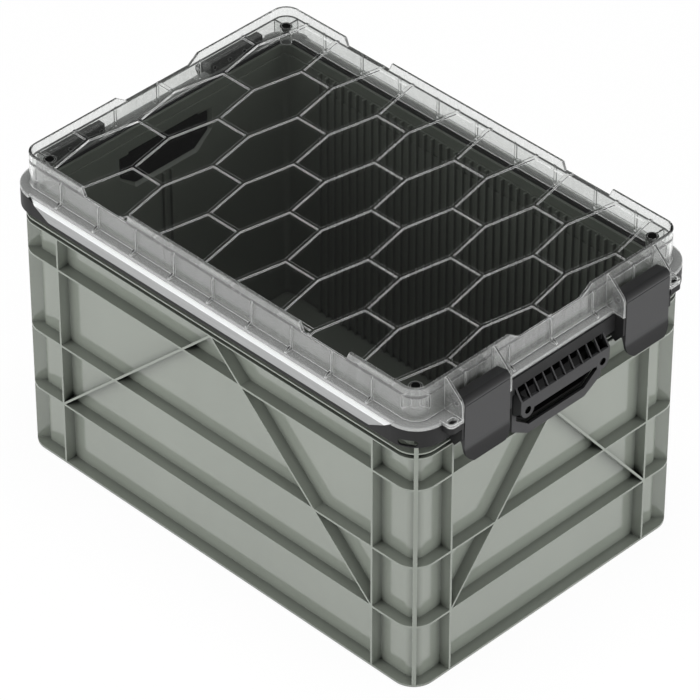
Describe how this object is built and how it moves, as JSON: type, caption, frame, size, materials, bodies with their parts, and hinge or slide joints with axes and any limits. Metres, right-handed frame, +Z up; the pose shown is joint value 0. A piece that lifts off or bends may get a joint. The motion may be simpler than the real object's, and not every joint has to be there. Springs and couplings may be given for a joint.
{
  "type": "storage crate with hinged clear lid",
  "caption": "Ribbed storage crate with a clear hinged lid, swing latches, hooded grips and aluminium side rails, for papers and keepsakes.",
  "frame": {"origin": "middle of the underside, on the surface the crate stands on", "axes": "+X to the right seen from the latches, +Y from the latches to the hinges, +Z up"},
  "size_m": [0.3628, 0.5544, 0.3402],
  "materials": {
    "crate_plastic": "satin moulded sage grey, panels a little glossier than the rib edges",
    "frame_plastic": "fine matte dark grey",
    "seal_rubber": "soft black foam",
    "rail_aluminium": "bead blasted and anodised, bright bevel",
    "grip_plastic": "fine matte dark grey",
    "liner_plastic": "matte black",
    "dark_screws": "black oxide, satin",
    "hinge_plastic": "matte black",
    "pin_steel": "turned",
    "clear_lid": "clear polycarbonate, polished",
    "plug_rubber": "soft black",
    "latch_plastic": "fine matte dark grey"
  },
  "bodies": {
    "crate": {"crate_body": "crate_plastic", "top_frame": "frame_plastic", "lid_gasket": "seal_rubber", "side_rail_left": "rail_aluminium", "side_rail_right": "rail_aluminium", "front_grip_hood": "grip_plastic", "rear_grip_hood": "grip_plastic", "front_grip_liner": "liner_plastic", "rear_grip_liner": "liner_plastic", "grip_screws": "dark_screws", "hinge_frame_leaf_left": "hinge_plastic", "hinge_frame_leaf_right": "hinge_plastic", "hinge_frame_screws": "dark_screws", "hinge_pin_left": "pin_steel", "hinge_pin_right": "pin_steel", "latch_keeper_left": "frame_plastic", "latch_keeper_right": "frame_plastic"},
    "lid": {"lid_shell": "clear_lid", "lid_corner_plugs": "plug_rubber", "hinge_lid_leaf_left": "hinge_plastic", "hinge_lid_leaf_right": "hinge_plastic", "hinge_lid_screws": "dark_screws", "latch_pin_left": "pin_steel", "latch_pin_right": "pin_steel"},
    "left_latch": {"latch_left": "latch_plastic"},
    "right_latch": {"latch_right": "latch_plastic"}
  },
  "joints": [
    {"name": "lid_hinge", "type": "hinge", "parent": "crate", "child": "lid", "pos_m": [0, 0.271, 0.3035], "axis": [-1, 0, 0], "range_deg": [0, 105]},
    {"name": "left_latch_pivot", "type": "hinge", "parent": "lid", "child": "left_latch", "pos_m": [-0.1034, -0.2675, 0.318], "axis": [-1, 0, 0], "range_deg": [0, 100]},
    {"name": "right_latch_pivot", "type": "hinge", "parent": "lid", "child": "right_latch", "pos_m": [0.1034, -0.2675, 0.318], "axis": [-1, 0, 0], "range_deg": [0, 100]}
  ]
}
